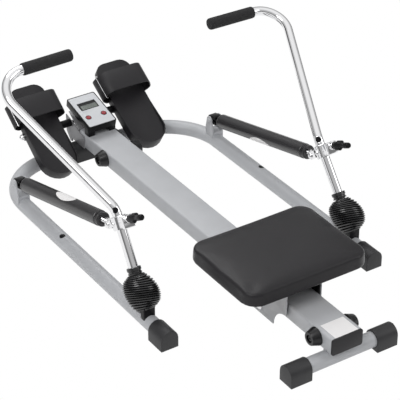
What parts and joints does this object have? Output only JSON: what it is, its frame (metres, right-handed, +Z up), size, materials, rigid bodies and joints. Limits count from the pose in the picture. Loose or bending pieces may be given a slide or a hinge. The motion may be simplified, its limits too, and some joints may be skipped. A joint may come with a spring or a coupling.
{
  "type": "hydraulic rowing machine",
  "caption": "Home rowing machine with a sliding padded seat on a rail, two chrome rowing arms damped by hydraulic cylinders, tilting foot plates with straps and a small console.",
  "frame": {"origin": "middle of the flat underside of the front foot, on the floor and on the middle plane of the rail", "axes": "+Y along the rail from the seat toward the console, +Z up, +X to the rower's right"},
  "size_m": [1.0016, 1.5023, 0.5976],
  "materials": {
    "silver_paint": "satin silver grey paint on steel tube and sheet",
    "dark_silver_paint": "satin dark grey paint on folded steel sheet",
    "chrome": "bright chrome plate",
    "steel": "plain steel",
    "black_paint": "semi gloss black paint",
    "black_plastic": "satin black moulded plastic",
    "rubber": "matt black rubber",
    "foam": "matt closed cell foam sleeve",
    "vinyl": "grained dark grey vinyl over foam",
    "board": "raw plywood",
    "face_grey": "light grey printed plastic face, left unprinted",
    "lcd_green": "dark display window",
    "button_red": "glossy red plastic"
  },
  "bodies": {
    "frame": {"side_frame_tube": "silver_paint", "side_frame_foot_left": "rubber", "side_frame_foot_right": "rubber", "front_foot": "rubber", "main_rail": "silver_paint", "rail_end_cap": "black_plastic", "rear_stabilizer": "silver_paint", "stabilizer_foot_left": "rubber", "stabilizer_foot_right": "rubber", "seat_stop_rear_left": "rubber", "seat_stop_rear_right": "rubber", "seat_stop_front_left": "rubber", "seat_stop_front_right": "rubber", "head_bracket": "dark_silver_paint", "pedal_axle": "chrome", "axle_spacer_left": "black_plastic", "axle_spacer_right": "black_plastic", "console_case": "black_plastic", "console_face": "face_grey", "console_lcd": "lcd_green", "oar_pivot_bracket_left": "silver_paint", "oar_pivot_bracket_right": "silver_paint", "boot_left": "rubber", "boot_right": "rubber", "cylinder_bracket_left": "silver_paint", "cylinder_bracket_right": "silver_paint"},
    "seat": {"seat_pad": "vinyl", "seat_base": "board", "carriage_plates": "silver_paint", "carriage_liner": "black_plastic", "roller_axle_front": "chrome", "roller_axle_rear": "chrome", "roller_axle_lower": "chrome"},
    "front_roller": {"roller_front": "black_plastic"},
    "rear_roller": {"roller_rear": "black_plastic"},
    "lower_roller": {"roller_lower": "black_plastic"},
    "left_foot": {"foot_plate_left": "black_plastic", "foot_strap_left": "rubber", "strap_buckle_left": "chrome"},
    "left_button": {"console_button_left": "button_red"},
    "right_foot": {"foot_plate_right": "black_plastic", "foot_strap_right": "rubber", "strap_buckle_right": "chrome"},
    "right_button": {"console_button_right": "button_red"},
    "left_arm_knuckle": {"oar_knuckle_left": "steel"},
    "left_arm": {"oar_tube_left": "chrome", "oar_grip_left": "foam", "oar_clamp_left": "chrome"},
    "left_knob": {"clamp_knob_left": "black_plastic"},
    "left_cylinder_knuckle": {"cylinder_knuckle_left": "black_plastic"},
    "left_cylinder": {"cylinder_body_left": "black_paint"},
    "left_rod": {"cylinder_rod_left": "chrome"},
    "right_arm_knuckle": {"oar_knuckle_right": "steel"},
    "right_arm": {"oar_tube_right": "chrome", "oar_grip_right": "foam", "oar_clamp_right": "chrome"},
    "right_knob": {"clamp_knob_right": "black_plastic"},
    "right_cylinder_knuckle": {"cylinder_knuckle_right": "black_plastic"},
    "right_cylinder": {"cylinder_body_right": "black_paint"},
    "right_rod": {"cylinder_rod_right": "chrome"}
  },
  "joints": [
    {"name": "seat_slide", "type": "slide", "parent": "frame", "child": "seat", "axis": [0, 1, 0], "range_m": [-0.0985, 0.7025]},
    {"name": "front_roller_spin", "type": "hinge", "parent": "seat", "child": "front_roller", "pos_m": [0, -0.942, 0.1274], "axis": [1, 0, 0], "range_deg": [-2240, 315]},
    {"name": "rear_roller_spin", "type": "hinge", "parent": "seat", "child": "rear_roller", "pos_m": [0, -1.098, 0.1274], "axis": [1, 0, 0], "range_deg": [-2240, 315]},
    {"name": "lower_roller_spin", "type": "hinge", "parent": "seat", "child": "lower_roller", "pos_m": [0, -1.02, 0.0362], "axis": [1, 0, 0], "range_deg": [-265, 1875]},
    {"name": "left_foot_tilt", "type": "hinge", "parent": "frame", "child": "left_foot", "pos_m": [-0.1605, 0.0385, 0.1145], "axis": [1, 0, 0], "range_deg": [-31, 5]},
    {"name": "left_button_press", "type": "slide", "parent": "frame", "child": "left_button", "axis": [0, 0.2385, -0.9711], "range_m": [0, 0.0012], "stiffness_N_per_m": 400},
    {"name": "right_foot_tilt", "type": "hinge", "parent": "frame", "child": "right_foot", "pos_m": [0.1605, 0.0385, 0.1145], "axis": [1, 0, 0], "range_deg": [-27, 9]},
    {"name": "right_button_press", "type": "slide", "parent": "frame", "child": "right_button", "axis": [0, 0.2385, -0.9711], "range_m": [0, 0.0012], "stiffness_N_per_m": 400},
    {"name": "left_arm_pull", "type": "hinge", "parent": "frame", "child": "left_arm_knuckle", "pos_m": [-0.352, -0.8671, 0.1096], "axis": [1, 0, 0], "range_deg": [-6.5, 38], "deforming": ["boot_left"]},
    {"name": "left_arm_swing", "type": "hinge", "parent": "left_arm_knuckle", "child": "left_arm", "pos_m": [-0.352, -0.8671, 0.1096], "axis": [0, 0.8546, -0.5192], "range_deg": [-8, 8]},
    {"name": "left_knob_turn", "type": "hinge", "parent": "left_arm", "child": "left_knob", "pos_m": [-0.352, -0.80972, 0.31344], "axis": [0, -0.8546, 0.5192], "range_deg": [-180, 180]},
    {"name": "left_cylinder_pitch", "type": "hinge", "parent": "frame", "child": "left_cylinder_knuckle", "pos_m": [-0.352, -0.176, 0.103], "axis": [1, 0, 0], "range_deg": [-3, 0.6]},
    {"name": "left_cylinder_yaw", "type": "hinge", "parent": "left_cylinder_knuckle", "child": "left_cylinder", "pos_m": [-0.352, -0.19047, 0.10695], "axis": [0, 0.2632, 0.9647], "range_deg": [-2.6, 2.6]},
    {"name": "left_rod_stroke", "type": "slide", "parent": "left_cylinder", "child": "left_rod", "axis": [0, -0.9647, 0.2632], "range_m": [-0.0225, 0.128]},
    {"name": "right_arm_pull", "type": "hinge", "parent": "frame", "child": "right_arm_knuckle", "pos_m": [0.352, -0.8671, 0.1096], "axis": [1, 0, 0], "range_deg": [0, 45], "deforming": ["boot_right"]},
    {"name": "right_arm_swing", "type": "hinge", "parent": "right_arm_knuckle", "child": "right_arm", "pos_m": [0.352, -0.8671, 0.1096], "axis": [0, 0.7875, -0.6163], "range_deg": [-8, 8]},
    {"name": "right_knob_turn", "type": "hinge", "parent": "right_arm", "child": "right_knob", "pos_m": [0.352, -0.78823, 0.3046], "axis": [0, -0.8984, 0.4392], "range_deg": [-180, 180]},
    {"name": "right_cylinder_pitch", "type": "hinge", "parent": "frame", "child": "right_cylinder_knuckle", "pos_m": [0.352, -0.176, 0.103], "axis": [1, 0, 0], "range_deg": [-4.6, 0.1]},
    {"name": "right_cylinder_yaw", "type": "hinge", "parent": "right_cylinder_knuckle", "child": "right_cylinder", "pos_m": [0.352, -0.19056, 0.10659], "axis": [0, 0.2397, 0.9709], "range_deg": [-2.6, 2.6]},
    {"name": "right_rod_stroke", "type": "slide", "parent": "right_cylinder", "child": "right_rod", "axis": [0, -0.9709, 0.2397], "range_m": [-0.001, 0.1485]}
  ],
  "couplings": [
    {"joint": "front_roller_spin", "follows": "seat_slide", "rad_per_m": -55.556},
    {"joint": "rear_roller_spin", "follows": "seat_slide", "rad_per_m": -55.556},
    {"joint": "lower_roller_spin", "follows": "seat_slide", "rad_per_m": 46.512},
    {"joint": "left_cylinder_pitch", "follows": "left_arm_pull", "ratio": -0.075},
    {"joint": "left_cylinder_yaw", "follows": "left_arm_swing", "ratio": 0.318},
    {"joint": "left_rod_stroke", "follows": "left_arm_pull", "m_per_rad": 0.192},
    {"joint": "right_cylinder_pitch", "follows": "right_arm_pull", "ratio": -0.1},
    {"joint": "right_cylinder_yaw", "follows": "right_arm_swing", "ratio": 0.322},
    {"joint": "right_rod_stroke", "follows": "right_arm_pull", "m_per_rad": 0.188}
  ]
}
